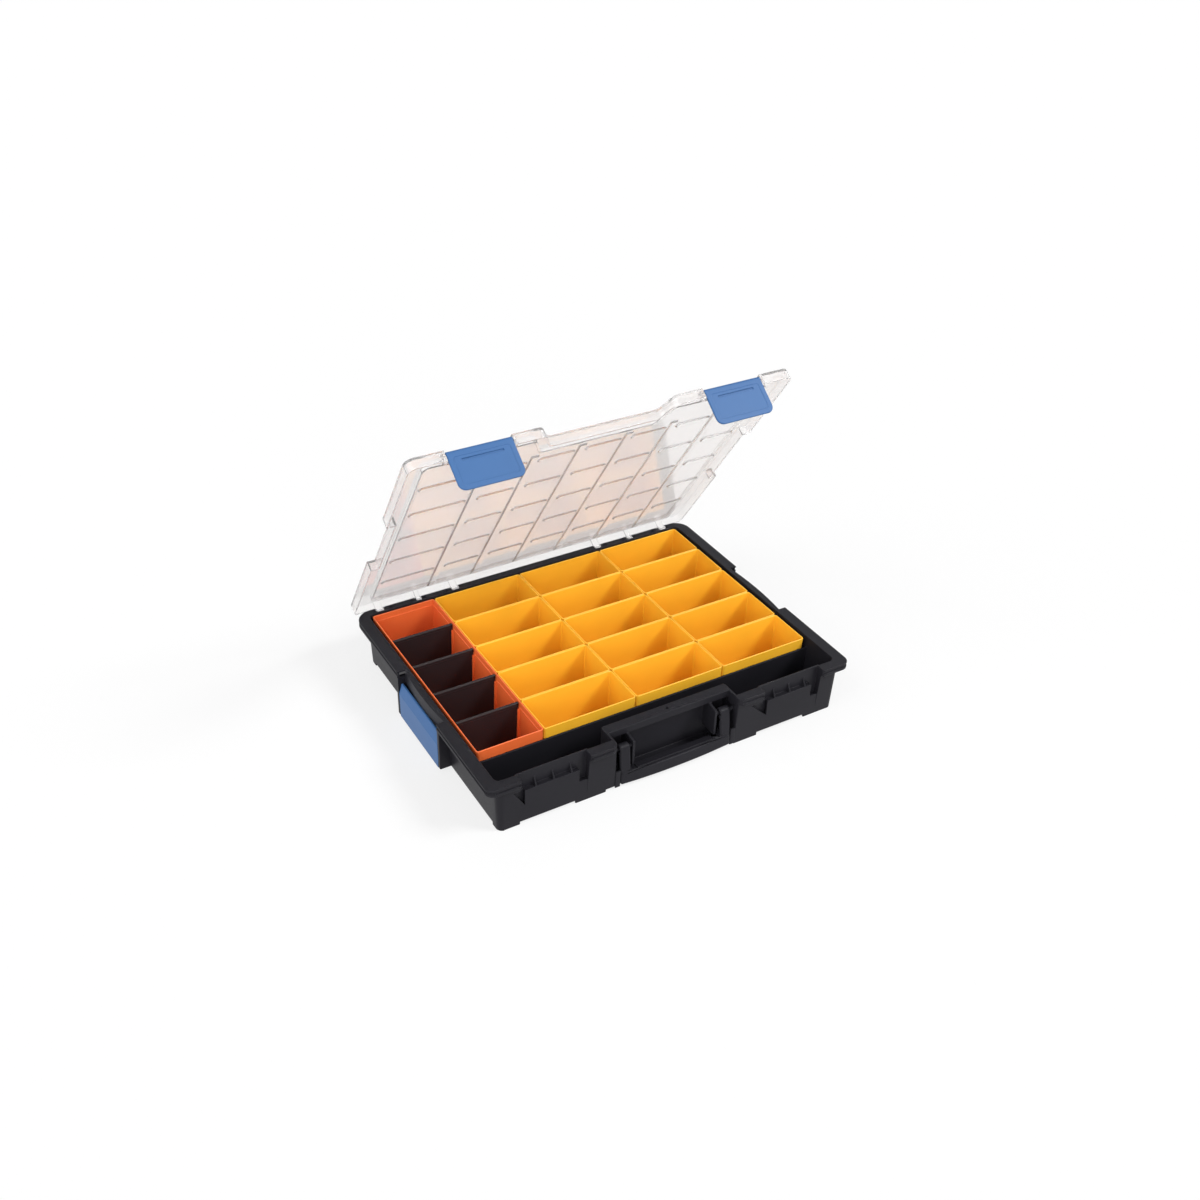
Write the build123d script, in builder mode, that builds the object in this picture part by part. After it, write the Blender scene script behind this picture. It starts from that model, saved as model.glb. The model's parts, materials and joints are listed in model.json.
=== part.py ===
"""Compartment organizer box: a low case with a clear hinged lid, two front latches, a fold-down
carrying handle, two side clips, fifteen lift-out bins and one long bin with four dividers.

Millimetres. X runs along the long side, -Y is the front with the handle, +Z is up. Everything is
drawn about the centre of the rim's outline, on the surface that the feet stand on, and is moved when
it is saved so that the middle of the whole, with its lid open, is over the origin.
"""

import os
from math import cos, radians, sin, tan

from build123d import *

os.makedirs("parts", exist_ok=True)

# Lift-out bins
bin_columns = 3
bin_rows = 5
column_pitch = 111.6
row_pitch = 54.0
long_bin_pitch = 77.3
bin_gap = 0.4
bin_wall = 1.5
bin_floor = 1.6
bin_corner = 4.0
bin_draft = 1.2
bin_height = 55.6

# Long bin and its dividers
long_bin_wall = 2.0
ledge_drop = 7.0
ledge_step = 0.6
guide_depth = 1.8
guide_width = 2.2
guide_drop = 9.0
divider_thickness = 1.8
divider_play = 0.3
divider_drop = 1.2
bead_thickness = 3.4
bead_height = 4.5
bead_radius = 1.1
divider_end_width = 2.6
divider_end_height = 7.5

# Case
foot_height = 3.5
floor_thickness = 2.0
bin_floor_gap = 0.3
rim_over_bins = 1.3
bin_side_gap = 3.4
bin_back_gap = 1.3
trough_depth = 49.0
side_lip = 14.0
front_lip = 12.0
back_lip = 10.3
case_wall = 2.6
front_wall_inset = 4.2
lip_height = 8.7
lip_plate = 2.2
lip_skirt = 3.0
lip_edge = 1.2
lip_groove_drop = 2.4
lip_groove_height = 3.0
lip_groove_depth = 1.2
wall_draft = 2.0
rim_front_corner = 10.0
rim_back_corner = 19.0
body_corner = 8.5
cavity_corner = 6.0
partition_gap = 0.4
partition_thickness = 2.2
partition_drop = 13.2
foot_spans = ((-215.0, -185.8), (-121.9, -85.4), (69.5, 106.4), (169.9, 215.0))
foot_depth = 16.0
core_width = 2.2
core_skin = 2.6

# Handle bay in the front wall, and the handle
bay_half_width = 75.0
bay_rim_inset = 22.5
bay_rim_width = 12.5
bay_wall = 2.6
bay_corner = 3.0
bay_front_corner = 8.0
bay_lip_height = 8.7
bay_sill_gap = 0.8
bay_sill_inset = 2.0
cheek_rib_gap = 3.2
cheek_rib_width = 3.0
cheek_rib_front_inset = 10.0
cheek_rib_top_slope = 2.5
cheek_rib_corner = 4.5
cheek_rib_length = 26.0
handle_back_play = 1.0
handle_inner_half = 56.0
handle_arm_width = 13.0
handle_arm_depth = 10.0
handle_pivot_inset = 13.6
handle_pivot_drop = 17.2
handle_lean = 7.0
handle_grip_height = 14.0
handle_ground_gap = 2.9
handle_bulge = 3.6
handle_sleeve_half = 48.0
handle_sleeve_step = 0.9
handle_pin_radius = 2.2
handle_pin_cover = 1.0
bay_hole_radius = 1.4

# Front latches and the recesses that they close over
latch_at = 147.0
latch_recess_width = 78.0
recess_front_corner = 3.0
recess_notch_width = 10.0
recess_notch_height = 16.0
latch_notch_width = 72.0
latch_side_play = 0.5
latch_wall = 2.0
latch_wall_step = 1.5
latch_ledge_drop = 18.9
latch_panel_inset = 1.6
gusset_count = 3
gusset_spacing = 20.5
gusset_width = 1.8
gusset_height = 10.2
pocket_depth = 5.5
pocket_top_drop = 17.0
pocket_height = 21.5
left_pocket_inset = 5.5
left_pocket_reach = 13.0
right_pocket_inset = 8.2
right_pocket_reach = 22.0
latch_length = 44.0
latch_plate_thickness = 2.6
latch_barrel_radius = 3.2
latch_pin_radius = 1.25
latch_pivot_inset = 3.2
latch_pivot_drop = 4.7
latch_corner = 8.0
latch_slot_length = 45.0
latch_slot_width = 1.6
latch_slot_depth = 0.7
latch_slot_drop = 8.5
latch_stop_height = 2.4
latch_stop_width = 50.0
latch_stop_lift = 26.0
latch_stop_depth = 2.4
latch_rest_angle = -4.4

# Side bays and their clips
side_bay_length = 99.4
side_bay_offset = -1.3
side_bay_lip = 5.0
side_bay_bow = 3.0
side_bay_lip_height = 16.0
cheek_width = 4.5
cheek_inset = 0.55
clip_play = 0.6
clip_plate_thickness = 2.5
clip_barrel_radius = 3.2
clip_pin_radius = 1.5
clip_pin_cover = 1.0
clip_pivot_height = 6.5
clip_bottom = 2.4
clip_fold_height = 33.0
clip_top_gap = 0.7
clip_lean = 3.6

# Lid and its hinge
lid_gap = 0.3
lid_height = 11.7
lid_plate = 2.2
lid_skirt = 2.0
panel_drop = 4.4
panel_thickness = 2.0
panel_side_inset = 21.0
panel_back_inset = 14.0
panel_front_inset = 19.0
panel_middle_inset = 22.0
lid_tab_step = 23.5
lid_middle_half = 65.0
tab_slant = 12.0
lid_corner = 10.0
panel_corner = 8.0
rib_height = 1.5
long_rib_width = 9.5
short_rib_width = 9.0
rib_bevel = 1.2
rib_end_gap = 1.2
panel_rib_gap = 3.0
latch_lug = 3.0
hinge_inset = 3.5
hinge_drop = 3.5
hinge_zone_start = 92.5
hinge_zone_length = 105.0
hinge_knuckle_radius = 3.9
hinge_pin_radius = 1.25
hinge_band_drop = 1.4
base_knuckles_at = (16.2, 43.7, 60.7, 87.0)
base_knuckle_width = 4.0
lid_knuckles_at = (5.0, 51.5, 100.0)
lid_knuckle_widths = (8.0, 5.0, 8.0)
knuckle_gap = 0.5
hinge_notch_depth = 9.2
hinge_arm_thickness = 4.0
back_skirt_lift = 1.3
lid_open_angle = 56.1

# Shared clearances
pin_play = 0.05
overlap = 0.5

# Heights, worked out from the sizes above
cavity_floor = foot_height + floor_thickness
bin_bottom = cavity_floor + bin_floor_gap
bin_top = bin_bottom + bin_height
rim_top = bin_top + rim_over_bins
lip_bottom = rim_top - lip_height
lid_bottom = rim_top + lid_gap
lid_top = lid_bottom + lid_height
panel_top = lid_top - panel_drop
panel_bottom = panel_top - panel_thickness

# Places in plan
grid_width = long_bin_pitch + bin_columns * column_pitch
grid_depth = bin_rows * row_pitch
cavity_half_x = grid_width / 2 + bin_side_gap
rim_half_x = cavity_half_x + side_lip
rim_half_y = (back_lip + bin_back_gap + grid_depth + trough_depth + front_lip) / 2
cavity_back = rim_half_y - back_lip
cavity_front = front_lip - rim_half_y
bins_left = -grid_width / 2
bins_back = cavity_back - bin_back_gap
body_half_x = cavity_half_x + case_wall
body_back = cavity_back + case_wall
body_front = front_wall_inset - rim_half_y
body_middle_y = (body_back + body_front) / 2
body_shrink = lip_bottom * tan(radians(wall_draft))
cavity_shrink = (rim_top - cavity_floor) * tan(radians(wall_draft))
bay_rim_front = bay_rim_inset - rim_half_y
bay_rim_back = bay_rim_front + bay_rim_width
bay_back = bay_rim_back - bay_wall
bay_lip_bottom = rim_top - bay_lip_height
side_bay_front = side_bay_offset - side_bay_length / 2
side_bay_back = side_bay_offset + side_bay_length / 2
side_bay_face = cavity_half_x + side_bay_lip
partition_front = bins_back - grid_depth - partition_gap - partition_thickness
partition_top = rim_top - partition_drop
recess_back = cavity_front + latch_wall_step
recess_face = recess_back - latch_wall
recess_ledge = rim_top - latch_ledge_drop
recess_panel = body_front + latch_panel_inset
hinge_notch_floor = rim_top - hinge_notch_depth

# Pivots, each as (y, z) or (x, z) in the closed state
hinge_y = rim_half_y - hinge_inset
hinge_z = rim_top - hinge_drop
hinge_axis = Axis((0, hinge_y, hinge_z), (1, 0, 0))
latch_y = latch_pivot_inset - rim_half_y
latch_z = lid_top - latch_pivot_drop
latch_axis = Axis((0, latch_y, latch_z), (1, 0, 0))
handle_y = handle_pivot_inset - rim_half_y
handle_z = rim_top - handle_pivot_drop
handle_axis = Axis((0, handle_y, handle_z), (1, 0, 0))
handle_back = handle_y + handle_arm_depth / 2
handle_front = handle_y - handle_arm_depth / 2
handle_outer_half = handle_inner_half + handle_arm_width
cheek_rib_at = handle_inner_half - cheek_rib_gap - cheek_rib_width
handle_grip_top = handle_ground_gap + handle_grip_height
latch_bottom = latch_z + latch_pivot_drop - latch_length
clip_face = rim_half_x - cheek_inset
clip_pivot_x = clip_face - clip_barrel_radius - pin_play


# How far the open lid reaches past the back of the rim
open_turn = radians(lid_open_angle)
open_lid_reach = hinge_inset * cos(open_turn) + (lid_top - hinge_z) * sin(open_turn) - hinge_inset


def block(x_span, y_span, z_span, mode=Mode.ADD):
    """A block between two corners, given as its span on each axis."""
    spans = [sorted(span) for span in (x_span, y_span, z_span)]
    with Locations(tuple(sum(span) / 2 for span in spans)):
        Box(*[high - low for low, high in spans], mode=mode)


def rod_x(radius, x_span, y, z, mode=Mode.ADD):
    """A round rod along X."""
    low, high = sorted(x_span)
    with Locations(Location(((low + high) / 2, y, z), (0, 90, 0))):
        Cylinder(radius, high - low, mode=mode)


def rod_y(radius, y_span, x, z, mode=Mode.ADD):
    """A round rod along Y."""
    low, high = sorted(y_span)
    with Locations(Location((x, (low + high) / 2, z), (90, 0, 0))):
        Cylinder(radius, high - low, mode=mode)


def save(shape, name):
    """Moves a finished piece to the middle of the open box, labels it and writes it."""
    shape = shape.moved(Location((0, -open_lid_reach / 2, 0)))
    shape.label = name
    export_step(shape, f"parts/{name}.step")


def base_knuckle_spans(side):
    """X spans of the case's knuckles on one side."""
    middles = [hinge_zone_start + at for at in base_knuckles_at]
    half = base_knuckle_width / 2
    return [(side * (middle - half), side * (middle + half)) for middle in middles]


def lid_knuckle_spans(side, gap):
    """X spans of the lid's knuckles on one side, widened by a gap at both ends."""
    spans = []
    for at, width in zip(lid_knuckles_at, lid_knuckle_widths):
        middle = hinge_zone_start + at
        spans.append((side * (middle - width / 2 - gap), side * (middle + width / 2 + gap)))
    return spans


def handle_pin_span(side, play):
    """X span of one handle pin, from inside its rib to inside the bay's side wall."""
    inner = cheek_rib_at + handle_pin_cover + play
    outer = bay_half_width + bay_wall - handle_pin_cover - play
    return side * inner, side * outer


def clip_pin_span(play):
    """Y span of the side clips' pins, from inside one cheek to inside the other."""
    reach = cheek_width - clip_pin_cover - play
    return side_bay_front - reach, side_bay_back + reach


def tabbed_outline(sketch, half_x, back, front, middle, middle_half, radius):
    """A rounded rectangle whose front edge steps back in the middle, drawn in the open sketch."""
    corners = [
        (-half_x, back),
        (-half_x, front),
        (-middle_half - tab_slant, front),
        (-middle_half, middle),
        (middle_half, middle),
        (middle_half + tab_slant, front),
        (half_x, front),
        (half_x, back),
    ]
    Polygon(*corners, align=None)
    fillet(sketch.vertices(), radius)


# Case
def corner_space(x, side, radius):
    """Space outside a rounded upright corner at the front, where the solid lies towards one side of x."""
    with BuildSketch(Plane.XY.offset(-overlap)) as corner:
        with Locations((x + side * (radius - overlap) / 2, (radius - overlap) / 2 - rim_half_y)):
            Rectangle(radius + overlap, radius + overlap)
        with Locations((x + side * radius, radius - rim_half_y)):
            Circle(radius, mode=Mode.SUBTRACT)
    extrude(corner.sketch, amount=rim_top + 2 * overlap)


def latch_recess_space(side):
    """Space of one latch recess: above the ledge, in front of the panel and in the notch at its right end."""
    half = latch_recess_width / 2
    centre = side * latch_at
    span = (centre - half, centre + half)
    outside = -rim_half_y - overlap
    block(span, (outside, recess_face), (recess_ledge, rim_top + overlap))
    block(span, (outside, recess_panel), (-overlap, recess_ledge + overlap))
    notch_span = (centre + half - recess_notch_width, centre + half)
    block(notch_span, (outside, recess_face), (recess_ledge - recess_notch_height, recess_ledge + overlap))
    corner_space(centre - half, -1, recess_front_corner)
    corner_space(centre + half, 1, recess_front_corner)


def pocket_space(side):
    """Three-cornered pocket in the front wall at the left end of one latch recess."""
    inset = left_pocket_inset if side < 0 else right_pocket_inset
    reach = left_pocket_reach if side < 0 else right_pocket_reach
    edge = side * latch_at - latch_recess_width / 2 + inset
    top = rim_top - pocket_top_drop
    with BuildSketch(Plane.XZ.offset(-body_front)) as pocket:
        Polygon((edge, top), (edge - reach, top), (edge, top - pocket_height), align=None)
    extrude(pocket.sketch, amount=-pocket_depth)


def make_case_openings():
    """All that is cut out of the walls once the cavity is there."""
    outside = -rim_half_y - overlap
    bay = (-bay_half_width, bay_half_width)
    half_recess = latch_recess_width / 2
    core_end = half_recess - recess_notch_width - case_wall
    core_front = recess_panel + core_skin
    core_top = recess_ledge - case_wall
    with BuildPart() as openings:
        block(bay, (outside, bay_rim_front), (-overlap, rim_top + overlap))
        block(bay, (bay_rim_front - overlap, bay_back), (cavity_floor, bay_lip_bottom))
        block(bay, (outside, handle_back + handle_back_play), (-overlap, cavity_floor + overlap))
        with Locations((0, (bay_rim_front + bay_rim_back) / 2, rim_top)):
            Cylinder(bay_hole_radius, 2 * lip_plate)
        for side in (-1, 1):
            corner_space(side * bay_half_width, side, bay_front_corner)
            latch_recess_space(side)
            pocket_space(side)
            block(
                (side * latch_at - half_recess, side * latch_at + core_end),
                (core_front, core_front + core_width),
                (-overlap, core_top),
            )
            hinge_depth = (body_back, rim_half_y + overlap)
            hinge_zone = (side * hinge_zone_start, side * (hinge_zone_start + hinge_zone_length))
            block(hinge_zone, hinge_depth, (rim_top - hinge_band_drop, rim_top + overlap))
            for span in lid_knuckle_spans(side, knuckle_gap):
                block(span, hinge_depth, (hinge_notch_floor, rim_top + overlap))
    return openings.part


def make_case_fittings():
    """All that stands in those openings: gussets, ribs and sills of the handle bay, hinge knuckles."""
    with BuildPart() as fittings:
        for side in (-1, 1):
            for index in range(gusset_count):
                x = side * latch_at + (index - (gusset_count - 1) / 2) * gusset_spacing
                with BuildSketch(Plane.YZ.offset(x - gusset_width / 2)) as gusset:
                    Polygon(
                        (recess_face + overlap, recess_ledge - overlap),
                        (recess_panel, recess_ledge - overlap),
                        (recess_panel, recess_ledge),
                        (recess_face, recess_ledge + gusset_height),
                        (recess_face + overlap, recess_ledge + gusset_height),
                        align=None,
                    )
                extrude(gusset.sketch, amount=gusset_width)
            add(make_cheek_rib(side))
            block(
                (side * (handle_outer_half + bay_sill_gap), side * (bay_half_width + overlap)),
                (body_front + bay_sill_inset, bay_rim_front),
                (foot_height, cavity_floor),
            )
            for span in base_knuckle_spans(side):
                rod_x(hinge_knuckle_radius, span, hinge_y, hinge_z)
    return fittings.part


def make_cheek_rib(side):
    """Rib beside the finger pocket, which carries one end of a handle pin."""
    low = handle_z - cheek_rib_length
    front = cheek_rib_front_inset - rim_half_y
    with BuildPart() as cheek_rib:
        with BuildSketch(Plane.YZ.offset(side * cheek_rib_at)) as outline:
            Polygon(
                (bay_back + overlap, low),
                (front, low),
                (front, bay_lip_bottom - cheek_rib_top_slope),
                (bay_rim_front, bay_lip_bottom),
                (bay_rim_front, bay_lip_bottom + overlap),
                (bay_back + overlap, bay_lip_bottom + overlap),
                align=None,
            )
            fillet(outline.vertices().group_by(Axis.Y)[0].sort_by(Axis.Z)[-1], cheek_rib_corner)
        extrude(amount=side * cheek_rib_width)
    return cheek_rib.part


def make_case_bores():
    """Bores of the handle's, the hinges' and the side clips' pins."""
    with BuildPart() as bores:
        for side in (-1, 1):
            rod_x(
                handle_pin_radius + pin_play,
                handle_pin_span(side, 0),
                handle_y,
                handle_z,
            )
            rod_x(
                hinge_pin_radius + pin_play,
                (side * hinge_zone_start, side * (hinge_zone_start + hinge_zone_length)),
                hinge_y,
                hinge_z,
            )
            rod_y(
                clip_pin_radius + pin_play,
                clip_pin_span(0),
                side * clip_pivot_x,
                clip_pivot_height,
            )
    return bores.part


def make_side_bay_fittings():
    """Bowed wall and end cheeks of both side bays."""
    with BuildPart() as fittings:
        for side in (-1, 1):
            start = (side * (cavity_half_x - overlap), side_bay_front)
            corner = (side * side_bay_face, side_bay_front)
            bow = (side * (side_bay_face + side_bay_bow), side_bay_offset)
            far_corner = (side * side_bay_face, side_bay_back)
            end = (side * (cavity_half_x - overlap), side_bay_back)
            with BuildSketch(Plane.XY.offset(rim_top - side_bay_lip_height)):
                with BuildLine():
                    Line(start, corner)
                    ThreePointArc(corner, bow, far_corner)
                    Line(far_corner, end)
                    Line(end, start)
                make_face()
            extrude(amount=side_bay_lip_height)
            for edge, reach in ((side_bay_front, -cheek_width), (side_bay_back, cheek_width)):
                block(
                    (side * (body_half_x - body_shrink - overlap), side * clip_face),
                    (edge, edge + reach),
                    (0, lip_bottom + overlap),
                )
    return fittings.part


def make_foot_gaps():
    """The space between the feet, below the floor."""
    with BuildPart() as gaps:
        block((-rim_half_x, rim_half_x), (-rim_half_y, rim_half_y), (-overlap, foot_height))
        for low, high in foot_spans:
            for wall, edge in ((body_front, -rim_half_y), (body_back, rim_half_y)):
                inner = wall + foot_depth if edge < wall else wall - foot_depth
                block((low, high), (edge, inner), (-overlap, foot_height), Mode.SUBTRACT)
    return gaps.part


def make_partition():
    """Low wall across the cavity, in front of the bins."""
    with BuildPart() as partition:
        block(
            (-cavity_half_x, cavity_half_x),
            (partition_front, partition_front + partition_thickness),
            (cavity_floor - overlap, partition_top),
        )
    return partition.part


def rim_outline(inset):
    """The rim's outline in plan, with tighter corners at the front, drawn in a sketch of its own."""
    with BuildSketch(Plane.XY) as outline:
        Rectangle(2 * (rim_half_x - inset), 2 * (rim_half_y - inset))
        fillet(outline.vertices().group_by(Axis.Y)[0], rim_front_corner - inset)
        fillet(outline.vertices().group_by(Axis.Y)[-1], rim_back_corner - inset)
    return outline.sketch


def make_base_shell():
    """The case: floor, walls, lip, feet, handle bay, latch recesses, side bays and hinge knuckles."""
    depth = body_back - body_front
    with BuildPart() as base_shell:
        with BuildSketch(Plane.XY):
            with Locations((0, body_middle_y)):
                RectangleRounded(
                    2 * (body_half_x - body_shrink), depth - 2 * body_shrink, body_corner - body_shrink
                )
        with BuildSketch(Plane.XY.offset(lip_bottom)):
            with Locations((0, body_middle_y)):
                RectangleRounded(2 * body_half_x, depth, body_corner)
        loft()

        # The lip, rounded along its top edge and grooved below it
        with BuildSketch(Plane.XY.offset(lip_bottom)):
            add(rim_outline(0))
        extrude(amount=lip_height)
        fillet(base_shell.edges().group_by(Axis.Z)[-1], lip_edge)
        with BuildSketch(Plane.XY.offset(rim_top - lip_groove_drop)):
            Rectangle(2 * (rim_half_x + overlap), 2 * (rim_half_y + overlap))
            add(rim_outline(lip_groove_depth), mode=Mode.SUBTRACT)
        extrude(amount=-lip_groove_height, mode=Mode.SUBTRACT)

        # The hollow behind its side skirts, and the side bays
        hollow_reach = rim_half_y - rim_back_corner
        for side in (-1, 1):
            block(
                (side * body_half_x, side * (rim_half_x - lip_skirt)),
                (-hollow_reach, hollow_reach),
                (lip_bottom - overlap, rim_top - lip_plate),
                Mode.SUBTRACT,
            )
            block(
                (side * (cavity_half_x + lip_edge), side * (rim_half_x + overlap)),
                (side_bay_front, side_bay_back),
                (lip_bottom, rim_top + overlap),
                Mode.SUBTRACT,
            )
        add(make_side_bay_fittings())

        # Cavity
        cavity_depth = cavity_back - cavity_front
        cavity_middle = (cavity_back + cavity_front) / 2
        with BuildSketch(Plane.XY.offset(cavity_floor)):
            with Locations((0, cavity_middle)):
                RectangleRounded(
                    2 * (cavity_half_x - cavity_shrink), cavity_depth - 2 * cavity_shrink, cavity_corner
                )
        with BuildSketch(Plane.XY.offset(rim_top)):
            with Locations((0, cavity_middle)):
                RectangleRounded(2 * cavity_half_x, cavity_depth, cavity_corner)
        loft(mode=Mode.SUBTRACT)
        add(make_partition())

        # Walls behind the latch recesses, and the block that the handle bay is cut out of
        recess_half = latch_recess_width / 2 + latch_wall
        for side in (-1, 1):
            block(
                (side * latch_at - recess_half, side * latch_at + recess_half),
                (cavity_front - overlap, recess_back),
                (foot_height, rim_top),
            )
        with BuildSketch(Plane.XY.offset(foot_height)) as bay_plan:
            with Locations((0, (bay_rim_back + cavity_front - overlap) / 2)):
                Rectangle(2 * (bay_half_width + bay_wall), bay_rim_back - cavity_front + overlap)
            fillet(bay_plan.vertices().group_by(Axis.Y)[-1], bay_corner)
        extrude(amount=rim_top - foot_height)

        add(make_case_openings(), mode=Mode.SUBTRACT)
        add(make_foot_gaps(), mode=Mode.SUBTRACT)
        add(make_case_fittings())
        add(make_case_bores(), mode=Mode.SUBTRACT)
    return base_shell.part


# Lid, drawn closed and then turned about the hinge
def cut_side_bays(margin):
    """Cuts the side bays out of a lid outline in the open sketch, grown by a margin."""
    face = side_bay_face - margin
    for side in (-1, 1):
        with Locations((side * (face + rim_half_x) / 2, side_bay_offset)):
            Rectangle(rim_half_x - face, side_bay_length + 2 * margin, mode=Mode.SUBTRACT)


def make_lid_ribs():
    """Broad low ribs under the panel, over the walls of the bins: long ones along Y, short ones across."""
    half_column = column_pitch / 2
    first = bins_left + long_bin_pitch
    back = rim_half_y - panel_back_inset - panel_rib_gap
    front = lid_tab_step - rim_half_y + panel_middle_inset + panel_rib_gap
    side_edge = rim_half_x - panel_side_inset - panel_rib_gap
    edges = [first + index * half_column for index in range(2 * bin_columns)]
    half_long = long_rib_width / 2
    starts = [-side_edge, *[edge + half_long + rib_end_gap for edge in edges]]
    ends = [*[edge - half_long - rib_end_gap for edge in edges], side_edge]
    with BuildPart() as ribs:
        with BuildSketch(Plane.XY.offset(panel_bottom)):
            with Locations(*[(edge, (back + front) / 2) for edge in edges]):
                Rectangle(long_rib_width, back - front)
            for start, end in zip(starts, ends):
                for row in range(1, bin_rows + 1):
                    with Locations(((start + end) / 2, bins_back - row * row_pitch)):
                        SlotOverall(end - start, short_rib_width)
        extrude(amount=-rib_height)
        chamfer(ribs.edges().group_by(Axis.Z)[0], rib_bevel)
    return ribs.part


def cut_latch_notch(side):
    """Notch for one front latch, with a wall behind it and a lug at each end for its pin."""
    half = latch_notch_width / 2
    centre = side * latch_at
    back = latch_y + latch_barrel_radius + latch_side_play + overlap
    front = -rim_half_y
    for edge, reach in ((centre - half, -latch_lug), (centre + half, latch_lug)):
        block((edge, edge + reach), (front, back), (lid_bottom + lid_gap, lid_top))
    block(
        (centre - half - latch_lug, centre + half + latch_lug),
        (back, back + lid_skirt),
        (lid_bottom + lid_gap, lid_top),
    )
    block(
        (centre - half, centre + half),
        (front - overlap, back),
        (lid_bottom - overlap, lid_top + overlap),
        Mode.SUBTRACT,
    )
    lugs = (centre - half - latch_lug - overlap, centre + half + latch_lug + overlap)
    rod_x(latch_pin_radius + pin_play, lugs, latch_y, latch_z, Mode.SUBTRACT)


def make_lid():
    """The clear lid: raised rim with a skirt, sunk ribbed panel, latch notches and hinge knuckles."""
    middle = lid_tab_step - rim_half_y
    with BuildPart() as lid:
        with BuildSketch(Plane.XY.offset(lid_bottom)) as outline:
            tabbed_outline(
                outline, rim_half_x, rim_half_y, -rim_half_y, middle, lid_middle_half, lid_corner
            )
            cut_side_bays(0)
        extrude(amount=lid_height)
        with BuildSketch(Plane.XY.offset(lid_bottom)) as hollow:
            tabbed_outline(
                hollow,
                rim_half_x - lid_skirt,
                rim_half_y - lid_skirt,
                lid_skirt - rim_half_y,
                middle + lid_skirt,
                lid_middle_half + lid_skirt,
                lid_corner - lid_skirt,
            )
            cut_side_bays(lid_skirt)
        extrude(amount=lid_height - lid_plate, mode=Mode.SUBTRACT)

        # Sunk panel with its walls
        half_x = rim_half_x - panel_side_inset
        back = rim_half_y - panel_back_inset
        front = panel_front_inset - rim_half_y
        panel_middle = middle + panel_middle_inset
        panel_half = lid_middle_half + panel_thickness
        with BuildSketch(Plane.XY.offset(panel_bottom)) as panel:
            tabbed_outline(panel, half_x, back, front, panel_middle, panel_half, panel_corner)
        extrude(amount=lid_top - panel_bottom)
        with BuildSketch(Plane.XY.offset(panel_top)) as sunk:
            tabbed_outline(
                sunk,
                half_x - panel_thickness,
                back - panel_thickness,
                front + panel_thickness,
                panel_middle + panel_thickness,
                panel_half + panel_thickness,
                panel_corner - panel_thickness,
            )
        extrude(amount=panel_drop + overlap, mode=Mode.SUBTRACT)
        add(make_lid_ribs())
        for side in (-1, 1):
            cut_latch_notch(side)

        # Back skirt, raised clear of the rim, and the knuckles that hang from it
        block(
            (-rim_half_x - overlap, rim_half_x + overlap),
            (rim_half_y - lid_skirt - overlap, rim_half_y + overlap),
            (lid_bottom - overlap, lid_bottom + back_skirt_lift),
            Mode.SUBTRACT,
        )
        for side in (-1, 1):
            for span in lid_knuckle_spans(side, 0):
                rod_x(hinge_knuckle_radius, span, hinge_y, hinge_z)
                arm_front = rim_half_y - hinge_arm_thickness
                block(span, (arm_front, rim_half_y), (hinge_z, lid_top - lid_plate / 2))
            zone = (side * hinge_zone_start, side * (hinge_zone_start + hinge_zone_length))
            rod_x(hinge_pin_radius + pin_play, zone, hinge_y, hinge_z, Mode.SUBTRACT)
    return lid.part.rotate(hinge_axis, -lid_open_angle)


# Hinge pins
def make_hinge_pin(side):
    """Steel pin through one side's hinge knuckles."""
    start = side * (hinge_zone_start + pin_play)
    end = side * (hinge_zone_start + hinge_zone_length - pin_play)
    with BuildPart() as hinge_pin:
        rod_x(hinge_pin_radius, (start, end), hinge_y, hinge_z)
    return hinge_pin.part


# Front latches and their pins
def make_latch(side):
    """One front latch: barrel, plate with rounded lower corners, finger slot and inner stop."""
    centre = side * latch_at
    half = latch_notch_width / 2 - latch_side_play
    outer_face = latch_y - latch_barrel_radius
    inner_face = outer_face + latch_plate_thickness
    slot_z = lid_top - latch_slot_drop - latch_pivot_drop
    with BuildPart() as latch:
        with BuildSketch(Plane.XZ.offset(-inner_face)) as plate:
            with Locations((centre, (latch_z + latch_bottom) / 2)):
                Rectangle(2 * half, latch_z - latch_bottom)
            fillet(plate.vertices().group_by(Axis.Z)[0], latch_corner)
        extrude(amount=latch_plate_thickness)
        rod_x(latch_barrel_radius, (centre - half, centre + half), latch_y, latch_z)
        stop_z = latch_bottom + latch_stop_lift
        block(
            (centre - latch_stop_width / 2, centre + latch_stop_width / 2),
            (inner_face - overlap, inner_face + latch_stop_depth),
            (stop_z - latch_stop_height / 2, stop_z + latch_stop_height / 2),
        )
        with BuildSketch(Plane.XZ.offset(-outer_face)) as slot:
            with Locations((centre, slot_z)):
                SlotOverall(latch_slot_length, latch_slot_width)
        extrude(slot.sketch, amount=-latch_slot_depth, mode=Mode.SUBTRACT)
        rod_x(
            latch_pin_radius + pin_play,
            (centre - half - overlap, centre + half + overlap),
            latch_y,
            latch_z,
            Mode.SUBTRACT,
        )
    return latch.part.rotate(latch_axis, -latch_rest_angle).rotate(hinge_axis, -lid_open_angle)


def make_latch_pin(side):
    """Pin of one front latch, from lug to lug."""
    centre = side * latch_at
    half = latch_notch_width / 2 + latch_lug
    with BuildPart() as latch_pin:
        rod_x(latch_pin_radius, (centre - half, centre + half), latch_y, latch_z)
    return latch_pin.part.rotate(hinge_axis, -lid_open_angle)


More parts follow.
